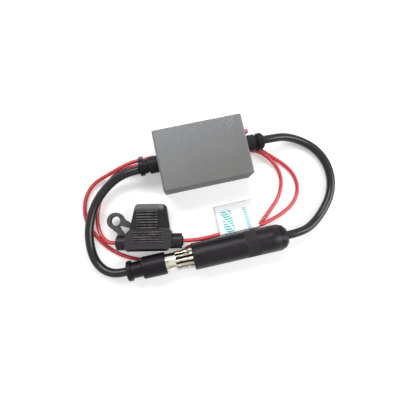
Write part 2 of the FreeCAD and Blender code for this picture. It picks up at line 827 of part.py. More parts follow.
def make_fuse_base():
    left, right, tall, thick = (holder_base_left, holder_base_right, holder_base_height,
                                holder_base_thickness)
    outline = [(-cap_left, 0), (-left, -shoulder_left), (-left, -tall + corner_left),
               (-left + corner_left, -tall), (right - corner_right_r, -tall),
               (right, -tall + corner_right_u), (right, -shoulder_right), (cap_right, 0)]
    body = polygon(outline, 0, thick)
    panel = box(-base_rib_left, base_rib_right, -base_rib_high - rib_root, -base_rib_low + rib_root,
                thick - rib_height, thick + 1)
    bevel_z = thick - holder_front_bevel_z
    edge = [(-tall + holder_front_bevel_u, thick), (-tall - 1, thick), (-tall - 1, bevel_z),
            (-tall, bevel_z)]
    corners = [V(-left - 1, u, z) for u, z in edge]
    bevel = Part.Face(Part.makePolygon(corners + [corners[0]])).extrude(V(left + right + 2, 0, 0))
    body = body.cut(panel).cut(bevel)
    bosses = [rod((-left - boss_left_length, -boss_left_drop, boss_z), (1, 0, 0), boss_left_radius,
                  boss_left_length + 1),
              rod((right + boss_right_length, -boss_right_drop, boss_z), (-1, 0, 0), boss_right_radius,
                  boss_right_length + 1)]
    body = fused([body] + bosses)
    pocket_half = fuse_width / 2 + fuse_gap
    pocket_depth = blade_length + fuse_height - fuse_proud + fuse_gap
    thin = fuse_thickness / 2 + fuse_gap
    tools = [box(-pocket_half, pocket_half, -pocket_depth, 1, boss_z - thin, boss_z + thin),
             rod((-left - boss_left_length - 1, -boss_left_drop, boss_z), (1, 0, 0), boss_bore,
                 left + boss_left_length + 1 - pocket_half - holder_wall),
             rod((right + boss_right_length + 1, -boss_right_drop, boss_z), (-1, 0, 0), boss_bore,
                 right + boss_right_length + 1 - pocket_half - holder_wall),
             rod((-left, -boss_left_drop, boss_z), (1, 0, 0), conductor_radius + fuse_gap, left),
             rod((right, -boss_right_drop, boss_z), (-1, 0, 0), conductor_radius + fuse_gap, right)]
    body = cut(body, tools)
    base_ribs = ribs(base_rib_count, base_rib_left, base_rib_right, -base_rib_high + rib_width / 2,
                     -base_rib_low - rib_width / 2, thick - rib_height - rib_root, thick)
    return fused([body] + base_ribs)


def make_fuse_cap():
    outline = [(-cap_left, 0), (cap_right, 0), (cap_top_right, cap_height), (-cap_top_left, cap_height)]
    body = polygon(outline, cap_z_low, cap_z_high - cap_z_low)
    crown = [e for e in body.Edges if e.BoundBox.ZLength > 1 and e.BoundBox.YMin > cap_height - 0.01]
    body = body.makeFillet(cap_corner, crown)
    slope = [(cap_slope_start, cap_z_high + 1), (cap_slope_start, cap_z_high),
             (cap_right + 1, cap_z_high - cap_slope_drop), (cap_right + 1, cap_z_high + 1)]
    corners = [V(r, -1, z) for r, z in slope]
    wedge = Part.Face(Part.makePolygon(corners + [corners[0]])).extrude(V(0, cap_height + 2, 0))
    body = body.cut(wedge)
    thin = fuse_thickness / 2 + fuse_gap
    w = holder_wall
    cavity = polygon([(-cap_left + w, -1), (cap_right - w, -1), (cap_right - w, 0),
                      (cap_top_right - w, cap_height - w), (-cap_top_left + w, cap_height - w),
                      (-cap_left + w, 0)], boss_z - thin, 2 * thin)
    body = body.cut(cavity)
    cap_ribs = ribs(cap_rib_count, cap_rib_left, cap_rib_right, cap_rib_low, cap_rib_high,
                    cap_z_high - rib_root, cap_z_high + rib_height)
    return fused([body] + cap_ribs)


def make_cap_strap():
    """A strap with a round eye: one leg on the cap's wall, one foot on the left boss."""
    depth = V(0, 0, strap_depth)
    eye = Part.makeCylinder(strap_outer, strap_depth, V(-strap_ring_r, strap_ring_u, strap_z_low))
    lean = (cap_left - cap_top_left) / cap_height
    wall_r = -cap_left - bore_clearance
    wall_low = strap_wall_top - strap_leg
    leg = [(strap_leg_low[0] - strap_ring_r, strap_leg_low[1] + strap_ring_u),
           (strap_leg_high[0] - strap_ring_r, strap_leg_high[1] + strap_ring_u),
           (wall_r + strap_wall_top * lean, strap_wall_top), (wall_r + wall_low * lean, wall_low),
           (strap_leg_elbow[0] - strap_ring_r, strap_leg_elbow[1] + strap_ring_u)]
    foot_u = boss_left_radius - boss_left_drop + slip_gap
    foot = [(strap_foot_left[0] - strap_ring_r, strap_foot_left[1] + strap_ring_u),
            (strap_foot_right[0] - strap_ring_r, strap_foot_right[1] + strap_ring_u),
            (strap_foot_outer - strap_ring_r, foot_u), (strap_foot_inner - strap_ring_r, foot_u)]
    limbs = []
    for limb in (leg, foot):
        corners = [V(r, u, strap_z_low) for r, u in limb]
        limbs.append(Part.Face(Part.makePolygon(corners + [corners[0]])).extrude(depth))
    hole = Part.makeCylinder(strap_inner, strap_depth + 2,
                             V(-strap_ring_r, strap_ring_u, strap_z_low - 1))
    return cut(fused([eye] + limbs), [hole])


def blade_r(side):
    return side * (fuse_width / 2 - blade_inset - blade_width / 2)


def make_fuse():
    """The plastic body, and the metal element with its two blades."""
    bottom = fuse_proud - fuse_height
    half = fuse_width / 2
    thin = fuse_thickness / 2
    body = box(-half, half, bottom, fuse_proud, boss_z - thin, boss_z + thin)
    waist = [box(side * half - fuse_waist, side * half + fuse_waist, bottom - 1, fuse_proud - fuse_head,
                 boss_z + face * thin - fuse_waist, boss_z + face * thin + fuse_waist)
             for side in (-1, 1) for face in (-1, 1)]
    element = []
    for side in (-1, 1):
        r = blade_r(side)
        element.append(box(r - blade_width / 2, r + blade_width / 2, bottom - blade_length,
                           bottom + blade_rooted, boss_z - blade_thickness / 2,
                           boss_z + blade_thickness / 2))
    element.append(box(blade_r(-1), blade_r(1), bottom + blade_rooted - element_bridge,
                       bottom + blade_rooted, boss_z - blade_thickness / 2,
                       boss_z + blade_thickness / 2))
    blades = fused(element)
    return cut(body, waist + [blades]), blades


def make_fuse_terminals():
    terminals = []
    bottom = fuse_proud - fuse_height
    top = bottom - fuse_gap
    low = bottom - blade_length - fuse_gap / 2
    thin = fuse_thickness / 2 + fuse_gap - slip_gap
    for side in (-1, 1):
        r = blade_r(side)
        r0 = r - blade_width / 2 - contact_plate
        r1 = r + blade_width / 2 + contact_plate
        block = box(r0, r1, low, top, boss_z - thin, boss_z + thin)
        slot_half = blade_thickness / 2 + contact_slot_gap
        slot = box(r0 - 1, r1 + 1, low - 1, top + 1, boss_z - slot_half, boss_z + slot_half)
        jaws = block.cut(slot)
        outer_r = r0 if side < 0 else r1
        reach, drop = ((holder_base_left + boss_left_length, boss_left_drop) if side < 0
                       else (holder_base_right + boss_right_length, boss_right_drop))
        tail = rod((outer_r, -drop, boss_z), (side, 0, 0), conductor_radius,
                   reach + seal_proud - abs(outer_r))
        plate_r0, plate_r1 = sorted((outer_r, outer_r - side * contact_plate))
        plate = box(plate_r0, plate_r1, low, top, boss_z - thin, boss_z + thin)
        terminals.append(fused([jaws, plate, tail]))
    return terminals


def make_wire_seals():
    seals = []
    for side, base, boss, drop in ((-1, holder_base_left, boss_left_length, boss_left_drop),
                                   (1, holder_base_right, boss_right_length, boss_right_drop)):
        start = side * (base + boss - seal_depth)
        plug = rod((start, -drop, boss_z), (side, 0, 0), boss_bore - bore_clearance,
                   seal_depth + seal_proud)
        hole = rod((start, -drop, boss_z), (side, 0, 0), conductor_radius + bore_clearance,
                   2 * seal_depth)
        seals.append(cut(plug, [hole]))
    return seals


def make_label():
    """A folded flag: a loop round the lead and two leaves glued back to back."""
    bore = lead_radius + label_gap
    outer = bore + label_thickness
    loop = rod((0, 0, 0), (1, 0, 0), outer, label_width)
    far_z = label_thickness / 2 + label_lift - label_lead_left[2]
    leaf = [V(0, 0, label_thickness / 2), V(0, label_reach, far_z + label_thickness / 2),
            V(0, label_reach, far_z - label_thickness / 2), V(0, 0, -label_thickness / 2)]
    flag = Part.Face(Part.makePolygon(leaf + [leaf[0]])).extrude(V(label_width, 0, 0))
    flag = cut(fused([loop, flag]), [rod((-1, 0, 0), (1, 0, 0), bore, label_width + 2)])
    run = V(*label_lead_right) - V(*label_lead_left)
    climb = math.degrees(math.atan2(run.z, math.hypot(run.x, run.y)))
    swing = math.degrees(math.atan2(run.y, run.x))
    flag.translate(V(label_setback, 0, 0))
    flag.rotate(V(0, 0, 0), V(0, 1, 0), -climb)
    flag.rotate(V(0, 0, 0), V(0, 0, 1), swing)
    flag.translate(V(*label_lead_left))
    return flag


save("casing_top", make_casing_top())
save("casing_base", make_casing_base())
save("casing_screws", *make_casing_screws())
save("circuit_board", make_circuit_board())
save("board_screws", *make_board_screws())
save("amplifier_transistor", make_transistor())
save("tuning_coils", *make_tuning_coils())
save("electrolytic_capacitor", make_electrolytic())
save("disc_capacitors", *make_disc_capacitors())
save("resistors", *make_resistors())
save("board_terminals", *make_board_terminals())
save("left_coax_core", make_core(-1, left_coax_y))
save("right_coax_core", make_core(1, right_coax_y))
save("power_lead_tail", make_lead_tail())
save("left_gland", make_gland(-1))
save("right_gland", make_gland(1))
save("indicator_lamp", make_lamp())
save("indicator_lamp_legs", *make_lamp_legs())
save("left_cable_tie", make_left_tie())
save("right_cable_tie", make_right_tie())
save("coax_left", cord("coax_left", coax_left_route, coax_radius))
save("coax_right", cord("coax_right", coax_right_route, coax_radius))
save("power_lead", cord("power_lead", power_lead_route, lead_radius))
save("supply_lead", cord("supply_lead", supply_lead_route, lead_radius))
save("lead_bare_end", cord("lead_bare_end", [lead_end, bare_tip], bare_radius))
save("socket_sleeve", on_line(make_socket_sleeve()))
save("socket_tail", on_line(make_socket_tail()))
save("socket_tube", on_line(make_socket_tube()))
save("socket_insulator", on_line(make_socket_insulator()))
save("socket_contact", on_line(make_socket_contact()))
save("plug_grip", on_line(make_plug_grip()))
save("plug_boot", on_line(make_plug_boot()))
save("plug_barrel", on_line(make_plug_barrel()))
save("plug_insulator", on_line(make_plug_insulator()))
save("plug_pin", on_line(make_plug_pin()))
save("fuse_base", in_holder(make_fuse_base()))
save("fuse_cap", in_holder(make_fuse_cap()))
save("cap_strap", in_holder(make_cap_strap()))
fuse_shell, fuse_metal = make_fuse()
save("fuse_body", in_holder(fuse_shell))
save("fuse_blades", in_holder(fuse_metal))
save("fuse_terminals", *[in_holder(t) for t in make_fuse_terminals()])
save("wire_seals", *[in_holder(s) for s in make_wire_seals()])
save("flag_label", make_label())
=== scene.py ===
import json
import math

import bmesh
import bpy
from mathutils import Euler, Matrix, Vector


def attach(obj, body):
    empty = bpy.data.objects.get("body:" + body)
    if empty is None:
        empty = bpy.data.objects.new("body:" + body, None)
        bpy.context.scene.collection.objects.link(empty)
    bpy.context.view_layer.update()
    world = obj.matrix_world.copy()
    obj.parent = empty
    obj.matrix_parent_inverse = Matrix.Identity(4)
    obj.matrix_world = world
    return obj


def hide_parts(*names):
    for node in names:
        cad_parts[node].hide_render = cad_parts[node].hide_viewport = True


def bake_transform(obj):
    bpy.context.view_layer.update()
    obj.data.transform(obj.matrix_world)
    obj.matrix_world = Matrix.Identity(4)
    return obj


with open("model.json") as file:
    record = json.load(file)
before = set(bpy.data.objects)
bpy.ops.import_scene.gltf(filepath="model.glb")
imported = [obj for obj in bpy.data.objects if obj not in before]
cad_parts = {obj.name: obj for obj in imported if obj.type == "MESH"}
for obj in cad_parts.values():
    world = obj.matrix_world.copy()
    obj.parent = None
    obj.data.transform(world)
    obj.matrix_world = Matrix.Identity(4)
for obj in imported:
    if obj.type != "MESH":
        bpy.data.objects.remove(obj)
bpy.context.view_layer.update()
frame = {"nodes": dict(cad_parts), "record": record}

MM = 0.001


def mm(x, y, z):
    return Vector((x * MM, y * MM, z * MM))


# Camera and light

camera_place = (-14.63035, -39.75766, 168.07095)
camera_turn = (6.27534, -1.64412, -12.30106)
camera_lens = 27.0

camera_data = bpy.data.cameras.new("camera")
camera_data.sensor_fit = "HORIZONTAL"
camera_data.sensor_width = 36.0
camera_data.lens = camera_lens
camera_data.clip_start = 0.002
camera = bpy.data.objects.new("camera", camera_data)
camera.location = mm(*camera_place)
camera.rotation_euler = Euler([math.radians(a) for a in camera_turn], "XYZ")
bpy.context.collection.objects.link(camera)
bpy.context.scene.camera = camera
bpy.context.scene.view_settings.view_transform = "Standard"


def soft_lamp(name, place, target, size, power):
    """A rectangular lamp that faces a target, in metres and watts."""
    data = bpy.data.lights.new(name, "AREA")
    data.shape = "RECTANGLE"
    data.size = size[0]
    data.size_y = size[1]
    data.energy = power
    lamp = bpy.data.objects.new(name, data)
    lamp.location = place
    lamp.rotation_euler = (Vector(place) - Vector(target)).to_track_quat("Z", "Y").to_euler()
    bpy.context.collection.objects.link(lamp)


object_middle = (0, -0.02, 0)
soft_lamp("key_softbox", (-0.08, 0.40, 0.52), object_middle, (0.60, 0.22), 2.9)
soft_lamp("side_softbox", (0.50, -0.15, 0.45), object_middle, (0.30, 0.50), 2.7)


# Material tools

class Signal:
    """A shader socket that takes part in plain arithmetic."""

    def __init__(self, nodes, socket):
        self.nodes = nodes
        self.socket = socket

    def maths(self, operation, *values, clamp=False):
        settings = {"operation": operation, "use_clamp": clamp}
        return self.nodes.node("ShaderNodeMath", settings, dict(enumerate(values)))

    def __add__(self, other):
        return self.maths("ADD", self, other)

    __radd__ = __add__

    def __mul__(self, other):
        return self.maths("MULTIPLY", self, other)

    __rmul__ = __mul__

    def __sub__(self, other):
        return self.maths("SUBTRACT", self, other)

    def __rsub__(self, other):
        return self.maths("SUBTRACT", other, self)

    def __truediv__(self, other):
        return self.maths("DIVIDE", self, other)

    def __rtruediv__(self, other):
        return self.maths("DIVIDE", other, self)

    def __gt__(self, other):
        return self.maths("GREATER_THAN", self, other)

    def __lt__(self, other):
        return self.maths("LESS_THAN", self, other)

    def __abs__(self):
        return self.maths("ABSOLUTE", self)

    def sine(self):
        return self.maths("SINE", self)

    def clamped(self):
        return self.maths("ADD", self, 0.0, clamp=True)

    def within(self, middle, half):
        return abs(self - middle) < half


class Nodes:
    """A node tree and the means to add to it."""

    def __init__(self, tree):
        self.tree = tree

    def feed(self, socket, value):
        if isinstance(value, Signal):
            self.tree.links.new(value.socket, socket)
        else:
            socket.default_value = value

    def node(self, kind, settings=None, inputs=None, output=0):
        node = self.tree.nodes.new(kind)
        for key, value in (settings or {}).items():
            setattr(node, key, value)
        for key, value in (inputs or {}).items():
            self.feed(node.inputs[key], value)
        return Signal(self, node.outputs[output]) if node.outputs else None

    def shown(self):
        """1 for a ray that shows this surface: from the camera, off gloss or through glass."""
        rays = ("Is Camera Ray", "Is Glossy Ray", "Is Transmission Ray")
        return sum(self.node("ShaderNodeLightPath", output=ray) for ray in rays).clamped()


class Finish(Nodes):
    """One material, whose shader comes from surface()."""

    def __init__(self, name):
        self.material = bpy.data.materials.new(name)
        self.material.use_nodes = True
        super().__init__(self.material.node_tree)
        self.tree.nodes.clear()
        self.axes = None

    def place(self):
        """The point on the piece, in the row frame at rest."""
        return self.node("ShaderNodeTexCoord", output="Object")

    def along(self, axis):
        """One coordinate of that point, in millimetres."""
        if self.axes is None:
            self.axes = self.node("ShaderNodeSeparateXYZ", None, {0: self.place()}).socket.node
        return Signal(self, self.axes.outputs[axis]) * (1 / MM)

    def noise(self, scale, detail=2.0, roughness=0.5):
        """Noise with so many features to the metre."""
        inputs = {"Vector": self.place(), "Scale": scale, "Detail": detail, "Roughness": roughness}
        return self.node("ShaderNodeTexNoise", None, inputs, "Fac")

    def drawn_haze(self):
        """Noise stretched along X, as on metal that was drawn that way."""
        drawn = self.node("ShaderNodeMapping", None, {"Vector": self.place(), "Scale": (0.25, 1.0, 1.0)})
        return self.node("ShaderNodeTexNoise", None, {"Vector": drawn, "Scale": 800.0, "Detail": 3.0}, "Fac")

    def mix(self, factor, first, second):
        first = (*first, 1.0) if isinstance(first, tuple) else first
        second = (*second, 1.0) if isinstance(second, tuple) else second
        return self.node("ShaderNodeMix", {"data_type": "RGBA"}, {0: factor, 6: first, 7: second}, 2)

    def bump(self, height, strength, depth=0.0001, over=None):
        inputs = {"Height": height, "Strength": strength, "Distance": depth}
        if over is not None:
            inputs["Normal"] = over
        return self.node("ShaderNodeBump", None, inputs, "Normal")

    def surface(self, colour, roughness, metallic=0.0, normal=None, **constants):
        inputs = {"Base Color": (*colour, 1.0) if isinstance(colour, tuple) else colour,
                  "Roughness": roughness, "Metallic": metallic}
        if normal is not None:
            inputs["Normal"] = normal
        inputs.update({key.replace("_", " "): value for key, value in constants.items()})
        shader = self.node("ShaderNodeBsdfPrincipled", None, inputs)
        self.node("ShaderNodeOutputMaterial", None, {"Surface": shader})
        return self.material


# Places shared by the pieces, in millimetres

case_end, case_side, case_top = 24.0, 16.0, 17.0
gland_tip = 34.5
gland_z = 8.5
left_coax_y = -0.8
right_coax_y = 1.6
lead_y = 2.3
lead_z = 6.5
coax_radius = 2.3
lead_radius = 1.05
line_angle = math.radians(0.2)
socket_mouth = (-16.3, -52.1, 7.2)
collar_along = -34.8
tail_along = 51.0
holder_angle = math.radians(-11.0)
holder_x = -34.95
holder_y = -33.5
left_boss_r = -19.0
right_boss_r = 16.8
boss_left_drop = 6.6
boss_right_drop = 6.2
boss_z = 5.5
strap_eye_r, strap_eye_u = -19.0, 4.95
sleeve_radius = 7.1
knurl_start = 28.2
knurl_length = 6.6
knurl_diamonds = 44
finger_count = 12
knurl_pitch = 2 * math.pi * sleeve_radius / knurl_diamonds
lead_end = (-26.4, 5.5, 5.0)
bare_tip = (-24.5, 5.681, 4.774)
label_lead_start = (-3.0, -44.0, 3.8)
label_lead_left = (0.1, -43.75, 3.95)
label_lead_right = (22.6, -43.55, 3.95)
label_lead_end = (25.4, -43.3, 3.7)

ON_LINE = Matrix.Translation(mm(*socket_mouth)) @ Matrix.Rotation(line_angle, 4, "Z")
IN_HOLDER = Matrix.Translation(mm(holder_x, holder_y, 0.0)) @ Matrix.Rotation(holder_angle, 4, "Z")


def line_point(along):
    return tuple((ON_LINE @ mm(along, 0, 0)) / MM)


def holder_point(r, u, z):
    return tuple((IN_HOLDER @ mm(r, u, z)) / MM)


# Finishes

black_sheen = (1.0, 0.93, 1.0, 1.0)     # the moulded blacks reflect with a faint violet cast


def casing_paint():
    """Matt grey with a fine speckle, worn light at the back edge and along the rims, with a painted
    reflection across the top and painted shade on the front wall.
    """
    f = Finish("casing_grey")
    on_face = 0.1
    worn_from, worn_over = 2.0, 12.0
    end_rim, back_rim, rim_depth = 0.8, 0.6, 1.1
    corner_width, corner_reach, corner_depth = 1.4, 0.5, 2.0
    front_drop = 0.3
    scratch_middle, scratch_reach = 17.5, 2.2
    grain = f.noise(5200, 2, 0.6)
    cloud = f.noise(70, 3, 0.55)
    x, y, z = f.along("X"), f.along("Y"), f.along("Z")
    worn = ((y - worn_from) / worn_over).clamped()
    flecks = (f.noise(1500, 2, 0.6) > 0.65) * (worn * 0.5 + 0.2)
    # Painted reflection: lighter and cooler towards the back and the left, by so much to the millimetre
    painted_reflection = (y * 0.026 - x * 0.009 + 0.42).clamped()
    tone = f.mix(painted_reflection, (0.170, 0.168, 0.163), (0.247, 0.255, 0.268))
    tone = f.mix((grain - 0.5) * 0.4 + (cloud - 0.5) * 0.7 + 0.1, tone, (0.26, 0.26, 0.255))
    tone = f.mix(flecks, tone, (0.46, 0.47, 0.47))
    # Rubbed patches along the rims and at the front corners
    edges = ((abs(x) > case_end - end_rim) + (y > case_side - back_rim)).clamped()
    corners = (abs(x) > case_end - corner_width) * (y < corner_reach - case_side)
    rim = (edges * (z > case_top - rim_depth) + corners * (z > case_top - corner_depth)).clamped()
    scuffs = f.noise(1150, 2, 0.6)
    rubbed = rim * ((f.noise(180, 2, 0.5) - 0.42) * 7.0).clamped()
    tone = f.mix((scuffs < 0.46) * rubbed * 0.45, tone, (0.10, 0.10, 0.10))
    tone = f.mix(((scuffs - 0.50) * 12.0).clamped() * rubbed * 0.55, tone, (0.50, 0.51, 0.51))
    # Painted shade makes the front wall darker, and two fine scratches lie near the back right corner
    front = (y < on_face - case_side) * (z < case_top - front_drop)
    tone = f.mix(front * (0.55 + (cloud - 0.5) * 0.8), tone, (0.060, 0.060, 0.058))
    near = x.within(scratch_middle, scratch_reach) * (z > case_top - on_face)
    long_scratch = abs(y - 13.2 - (x - 17.2) * 0.8) < 0.13
    short_scratch = abs(y - 11.9 - (x - 18.4) * 1.1) < 0.09
    scratched = ((long_scratch + short_scratch) * near).clamped()
    tone = f.mix(scratched * 0.7, tone, (0.55, 0.56, 0.56))
    return f.surface(tone, 0.5 + (grain - 0.5) * 0.2, 0.0, f.bump(grain, 0.12, 0.00005),
                     Specular_IOR_Level=0.2)


def screw_steel():
    f = Finish("zinc_steel")
    brushed = f.noise(3000, 2)
    return f.surface((0.55, 0.56, 0.57), 0.28 + brushed * 0.15, 1.0)


def green_board():
    f = Finish("board_green")
    x, y = f.along("X"), f.along("Y")
    tracks = ((x * 2.1 + (y * 0.8).sine() * 2.0).sine() > 0.72)
    pads = f.node("ShaderNodeTexVoronoi", None, {"Vector": f.place(), "Scale": 330.0}, "Distance") < 0.16
    tone = f.mix(tracks, (0.012, 0.11, 0.035), (0.03, 0.2, 0.07))
    tone = f.mix(pads, tone, (0.55, 0.5, 0.36))
    return f.surface(tone, 0.35, 0.0, f.bump(tracks, 0.2, 0.00003))


def moulded_black(name, tone, roughness, grain_scale, grain_strength):
    f = Finish(name)
    grain = f.noise(grain_scale, 2, 0.6)
    haze = f.noise(120, 2)
    colour = f.mix(haze * 0.5, tone, tuple(c * 1.5 for c in tone))
    return f.surface(colour, roughness + (haze - 0.5) * 0.12, 0.0, f.bump(grain, grain_strength, 0.00008),
                     Specular_IOR_Level=0.20, Specular_Tint=black_sheen)


def copper_parts():
    f = Finish("copper_and_solder")
    turns = (f.along("X") * 14.0).sine()
    tone = f.mix(turns * 0.5 + 0.5, (0.42, 0.16, 0.07), (0.85, 0.45, 0.24))
    return f.surface(tone, 0.3, 1.0, f.bump(turns, 0.6, 0.0001))


def can_sleeve():
    """Blue sleeve with a pale stripe on its left side and the can's bare top above it."""
    f = Finish("can_sleeve_blue")
    stripe_edge, sleeve_top = -10.2, 12.75
    stripe = f.along("X") < stripe_edge
    top = f.along("Z") > sleeve_top
    tone = f.mix(stripe, (0.012, 0.02, 0.075), (0.55, 0.57, 0.6))
    tone = f.mix(top, tone, (0.6, 0.6, 0.61))
    return f.surface(tone, 0.3, top)


def disc_coating():
    f = Finish("disc_orange")
    runs = f.noise(600, 2)
    return f.surface(f.mix(runs, (0.42, 0.14, 0.02), (0.62, 0.24, 0.04)), 0.3, 0.0, f.bump(runs, 0.3))


def banded_resistor():
    f = Finish("resistor_lacquer")
    ring_rate = 5.2
    x = f.along("X")
    rings = (x * ring_rate).sine() > 0.86
    dark = (x * (ring_rate / 2)).sine() > 0.4
    ring_tone = f.mix(dark, (0.35, 0.07, 0.02), (0.03, 0.02, 0.02))
    return f.surface(f.mix(rings, (0.62, 0.48, 0.27), ring_tone), 0.32)


def white_core():
    f = Finish("core_polyethylene")
    haze = f.noise(400, 2)
    return f.surface(f.mix(haze, (0.74, 0.74, 0.69), (0.82, 0.82, 0.78)), 0.4)


def lamp_red():
    f = Finish("lamp_red")
    lamp_root, lamp_reach = 22.0, 6.0
    outwards = (f.along("X") - lamp_root) / lamp_reach
    glow = f.mix(outwards, (0.52, 0.03, 0.11), (0.72, 0.10, 0.22))
    return f.surface(glow, 0.16, 0.0, None, Coat_Weight=1.0, Coat_Roughness=0.08, Transmission_Weight=0.15,
                     IOR=1.5)


def coax_jacket():
    f = Finish("coax_black")
    grain = f.noise(1800, 2)
    haze = f.noise(90, 2)
    tone = f.mix(haze, (0.0042, 0.0040, 0.0050), (0.0075, 0.0070, 0.0085))
    return f.surface(tone, 0.22 + (haze - 0.5) * 0.12, 0.0, f.bump(grain, 0.08, 0.00004),
                     Specular_IOR_Level=0.42)


def red_insulation():
    f = Finish("lead_red")
    haze = f.noise(160, 3)
    tone = f.mix(haze, (0.56, 0.020, 0.030), (0.70, 0.040, 0.055))
    return f.surface(tone, 0.30 + (haze - 0.5) * 0.2, 0.0, f.bump(f.noise(2500, 2), 0.08, 0.00003),
                     Specular_IOR_Level=0.7)


def tinned_copper():
    f = Finish("tinned_strands")
    haze = f.noise(3000, 2)
    return f.surface(f.mix(haze, (0.62, 0.58, 0.52), (0.8, 0.79, 0.76)), 0.25, 1.0)


def finger_nickel():
    """Nickel on the plug's barrel, whose spring fingers are rounded across, with painted shade at their
    edges.
    """
    f = Finish("nickel_fingers")
    fingers_start = -9.0
    haze = f.drawn_haze()
    up = f.along("Z") - socket_mouth[2]
    angle = up.maths("ARCTAN2", up, f.along("Y") - socket_mouth[1])
    slotted = f.along("X") > socket_mouth[0] + fingers_start
    crest = (angle * finger_count + math.pi / 2).sine() * slotted
    tone = f.mix(((haze - 0.42) * 5.0).clamped(), (0.38, 0.33, 0.24), (0.84, 0.81, 0.73))
    # Painted shade along each finger's edge, by the shaded slots between the fingers
    tone = f.mix((crest < -0.25) * 0.85, tone, (0.10, 0.075, 0.05))
    normal = f.bump(crest, 0.8, 0.00035, f.bump(haze, 0.2, 0.00006))
    return f.surface(tone, 0.10 + haze * 0.12, 1.0, normal)


def bright_nickel():
    f = Finish("nickel_plate")
    haze = f.drawn_haze()
    tone = f.mix(((haze - 0.42) * 5.0).clamped(), (0.34, 0.29, 0.21), (0.82, 0.79, 0.72))
    return f.surface(tone, 0.12 + haze * 0.12, 1.0, f.bump(haze, 0.3, 0.00006))


def fuse_red():
    f = Finish("fuse_tinted")
    haze = f.noise(300, 2)
    return f.surface(f.mix(haze, (0.5, 0.03, 0.02), (0.62, 0.05, 0.03)), 0.2, 0.0, None,
                     Transmission_Weight=0.35, IOR=1.5)


def fuse_zinc():
    f = Finish("fuse_zinc")
    haze = f.noise(900, 2)
    return f.surface(f.mix(haze, (0.6, 0.6, 0.58), (0.74, 0.74, 0.72)), 0.3, 1.0)


def label_film():
    """White film with two columns of plain coloured dashes that run down the flag."""
    f = Finish("label_white")
    left_edge, lead_edge = 0.5, -43.7
    wide_middle, wide_half, wide_length = 5.9, 2.9, 12.4
    slim_middle, slim_half, slim_length = 16.6, 1.1, 12.0
    across, down = f.along("X") - left_edge, f.along("Y") - lead_edge
    wide = across.within(wide_middle, wide_half) * (down < wide_length)
    wide_dashes = (((down * 4.6 + (across * 1.3).sine() * 0.8).sine() > -0.3)
                   * ((across * 1.25 + down * 0.8).sine() > -0.86)) * wide
    slim = across.within(slim_middle, slim_half) * (down < slim_length)
    slim_dashes = ((down * 6.4 + across * 1.4).sine() > -0.45) * slim
    patchy = f.noise(900, 2, 0.6)
    shade = f.mix(patchy, (0.0, 0.34, 0.38), (0.10, 0.74, 0.76))
    faded = f.mix(patchy, (0.12, 0.50, 0.58), (0.30, 0.74, 0.80))
    tone = f.mix(slim_dashes, f.mix(wide_dashes, (0.97, 0.97, 0.97), shade), faded)
    return f.surface(tone, 0.35)


def holder_plastic():
    """Black plastic with a painted sheen on the frame, painted highlights on the rib tops and crown, and
    painted shade in the grooves and on the cap's right slope.
    """
    f = Finish("holder_black")
    rib_level, cap_rib_level, frame_level, groove_level, crown_level = 10.8, 10.7, 10.9, 10.0, 9.0
    # Each panel's middle and half width along the holder, and the same across it
    base_along, base_across = (-1.5, 7.8), (-3.75, 3.05)
    cap_along, cap_across = (-1.65, 5.6), (5.25, 4.7)
    crown_from, crown_over = 9.6, 2.2
    slope_from, slope_front = 3.9, 0.6
    east, north = f.along("X") - holder_x, f.along("Y") - holder_y
    z = f.along("Z")
    r = east * math.cos(holder_angle) + north * math.sin(holder_angle)
    u = north * math.cos(holder_angle) - east * math.sin(holder_angle)
    streak = f.noise(420, 3, 0.65)
    base_panel = r.within(*base_along) * u.within(*base_across)
    cap_panel = r.within(*cap_along) * u.within(*cap_across)
    tops = (base_panel * (z > rib_level) + cap_panel * (z > cap_rib_level)).clamped()
    grooves = ((base_panel + cap_panel).clamped() - tops).clamped() * (z > groove_level)
    frame_sheen = (u < 0.0) * (z > frame_level) * (1.0 - base_panel)
    crown = ((u - crown_from) / crown_over).clamped() * (z > crown_level)
    slope = (r > slope_from) * (u > slope_front) * (1.0 - crown)
    tone = f.mix(streak * 0.5, (0.0120, 0.0108, 0.0128), (0.0210, 0.0190, 0.0220))
    # Painted light and shade: a sheen on the frame, a highlight on the crown and streaky highlights on the
    # rib tops; painted shade on the cap's right slope and in the grooves
    tone = f.mix(frame_sheen * 0.85, tone, (0.040, 0.035, 0.042))
    tone = f.mix(crown * 0.85, tone, (0.190, 0.178, 0.188))
    tone = f.mix(slope * 0.9, tone, (0.0050, 0.0045, 0.0052))
    tone = f.mix((tops * (streak - 0.27) * 2.9).clamped(), tone, (0.145, 0.133, 0.142))
    tone = f.mix(grooves * 0.9, tone, (0.0030, 0.0028, 0.0033))
    grain = f.noise(2200, 2, 0.6)
    polish = (1.0 - base_panel - cap_panel - slope).clamped() * 0.3
    return f.surface(tone, 0.44 + (streak - 0.5) * 0.15, 0.0, f.bump(grain, 0.3, 0.00005),
                     Specular_IOR_Level=0.12, Coat_Weight=polish, Coat_Roughness=0.3)


def strap_rubber():
    """Grey rubber, with painted shade down the wall of its eye."""
    f = Finish("strap_grey_rubber")
    wall_reach, wall_top = 2.95, 7.7
    eye = holder_point(strap_eye_r, strap_eye_u, 0.0)
    east, north = f.along("X") - eye[0], f.along("Y") - eye[1]
    wall = (east * east + north * north < wall_reach ** 2) * (f.along("Z") < wall_top)
    grain = f.noise(1500, 2, 0.6)
    tone = f.mix(grain, (0.052, 0.052, 0.057), (0.078, 0.078, 0.084))
    # Painted shade down the inside wall of the eye
    return f.surface(f.mix(wall * 0.9, tone, (0.008, 0.008, 0.009)), 0.6, 0.0, f.bump(grain, 0.2, 0.00004),
                     Specular_IOR_Level=0.3)


